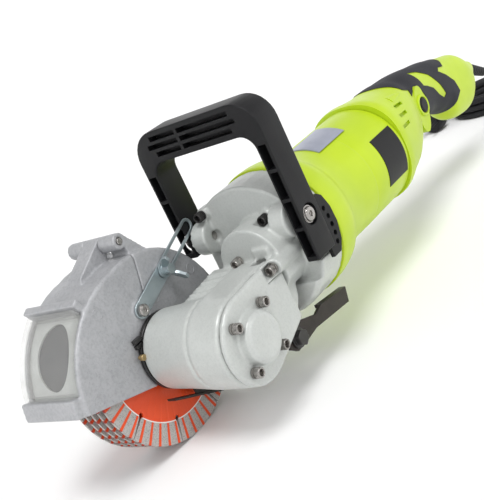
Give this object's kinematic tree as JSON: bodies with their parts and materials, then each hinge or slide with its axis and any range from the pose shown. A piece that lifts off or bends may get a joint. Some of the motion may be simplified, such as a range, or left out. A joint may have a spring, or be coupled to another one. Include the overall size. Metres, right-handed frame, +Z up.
{
  "type": "wall chaser",
  "caption": "Hand-held wall chaser with parallel diamond discs under a hinged cast guard, a geared nose, a D-shaped front handle and a rear trigger grip.",
  "frame": {"origin": "bottom centre of the machine's box without its cord: the height of the lowest point of the discs", "axes": "+X towards the rear grip along the motor, +Y towards the guard and discs, +Z up, spindle axis along Y"},
  "size_m": [0.9368, 0.2152, 0.2368],
  "materials": {
    "lime_shell": "satin moulded nylon",
    "black_plastic": "fine grained moulding",
    "grip_rubber": "matt overmould",
    "painted_case": "silver paint on die casting",
    "cast_guard": "bare die casting",
    "zinc_plate": "zinc plated",
    "screw_steel": "oiled steel",
    "dark_steel": "dark oxide",
    "brass": "turned",
    "copper": "varnished",
    "disc": "orange paint, bare rim",
    "clear": "clear plastic",
    "cord_rubber": "matt"
  },
  "bodies": {
    "machine": {"motor_housing": "lime_shell", "handle_shell": "lime_shell", "d_handle": "black_plastic", "grip_cover": "grip_rubber", "gear_housing": "painted_case", "gear_cover": "painted_case", "guard_rear_shell": "cast_guard", "guard_hinge_pin": "screw_steel", "front_bearing": "screw_steel", "rear_bearing": "screw_steel", "spindle_bearing_outer": "screw_steel", "spindle_bearing_inner": "screw_steel", "lever_bolt": "screw_steel", "d_handle_bolt_1": "screw_steel", "d_handle_bolt_2": "screw_steel", "cover_screw_1": "screw_steel", "cover_screw_2": "screw_steel", "cover_screw_3": "screw_steel", "cover_screw_4": "screw_steel", "front_screw_1": "screw_steel", "front_screw_2": "screw_steel", "flange_screw_1": "screw_steel", "flange_screw_2": "screw_steel", "dust_skirt": "dark_steel", "guard_clamp_band": "brass", "brush_holder_1": "brass", "brush_holder_2": "brass", "stator": "copper", "strain_relief": "cord_rubber", "cord": "cord_rubber", "cord_coil": "cord_rubber", "plug": "cord_rubber"},
    "spindle": {"spindle": "screw_steel", "blade_1": "disc", "blade_2": "disc", "blade_3": "disc", "blade_4": "disc", "blade_5": "disc", "blade_spacer_1": "screw_steel", "blade_spacer_2": "screw_steel", "blade_spacer_3": "screw_steel", "blade_spacer_4": "screw_steel", "outer_flange": "screw_steel", "spindle_nut": "zinc_plate", "spindle_gear": "screw_steel"},
    "idler": {"idler_gear": "screw_steel"},
    "lay": {"layshaft": "screw_steel", "bevel_gear": "screw_steel"},
    "armature": {"armature_shaft": "screw_steel", "armature_core": "copper", "commutator": "copper", "cooling_fan": "black_plastic"},
    "front_guard": {"guard_front_shell": "cast_guard", "guard_window": "clear", "strap_pivot_screw": "screw_steel"},
    "strap": {"guard_strap": "zinc_plate"},
    "wing": {"wing_bolt": "zinc_plate"},
    "lever_body": {"lever": "dark_steel"},
    "trigger_body": {"trigger": "black_plastic"},
    "button": {"lock_button": "black_plastic"}
  },
  "joints": [
    {"name": "spindle_spin", "type": "hinge", "parent": "machine", "child": "spindle", "pos_m": [-0.23334, 0.056, 0.078], "axis": [0, 1, 0], "continuous": true},
    {"name": "idler_spin", "type": "hinge", "parent": "machine", "child": "idler", "pos_m": [-0.187, -0.054, 0.08723], "axis": [0, 1, 0], "continuous": true},
    {"name": "lay_spin", "type": "hinge", "parent": "machine", "child": "lay", "pos_m": [-0.14934, -0.039, 0.109], "axis": [0, 1, 0], "continuous": true},
    {"name": "armature_spin", "type": "hinge", "parent": "machine", "child": "armature", "pos_m": [-0.05334, -0.027, 0.109], "axis": [1, 0, 0], "continuous": true},
    {"name": "guard_swing", "type": "hinge", "parent": "machine", "child": "front_guard", "pos_m": [-0.22304, 0.061, 0.173], "axis": [0, 1, 0], "range_deg": [0, 45]},
    {"name": "strap_swing", "type": "hinge", "parent": "front_guard", "child": "strap", "pos_m": [-0.24154, 0.026, 0.1186], "axis": [0, 1, 0], "range_deg": [-15, 0]},
    {"name": "wing_turn", "type": "hinge", "parent": "machine", "child": "wing", "pos_m": [-0.20134, 0.021, 0.1332], "axis": [0, 1, 0], "range_deg": [-120, 0]},
    {"name": "lever_swing", "type": "hinge", "parent": "machine", "child": "lever_body", "pos_m": [-0.18284, -0.058, 0.046], "axis": [0, 1, 0], "range_deg": [0, 20]},
    {"name": "trigger_pull", "type": "hinge", "parent": "machine", "child": "trigger_body", "pos_m": [0.14066, -0.027, 0.091], "axis": [0, 1, 0], "range_deg": [-8, 0], "stiffness_Nm_per_rad": 0.6, "springref_deg": 5.73},
    {"name": "button_press", "type": "slide", "parent": "machine", "child": "button", "axis": [0, 1, 0], "range_m": [0, 0.003], "stiffness_N_per_m": 400, "springref_m": -0.002}
  ],
  "couplings": [
    {"joint": "idler_spin", "follows": "spindle_spin", "ratio": -0.8},
    {"joint": "lay_spin", "follows": "spindle_spin", "ratio": 1.2174},
    {"joint": "armature_spin", "follows": "spindle_spin", "ratio": 2.9082},
    {"joint": "strap_swing", "follows": "guard_swing", "ratio": -0.295}
  ]
}
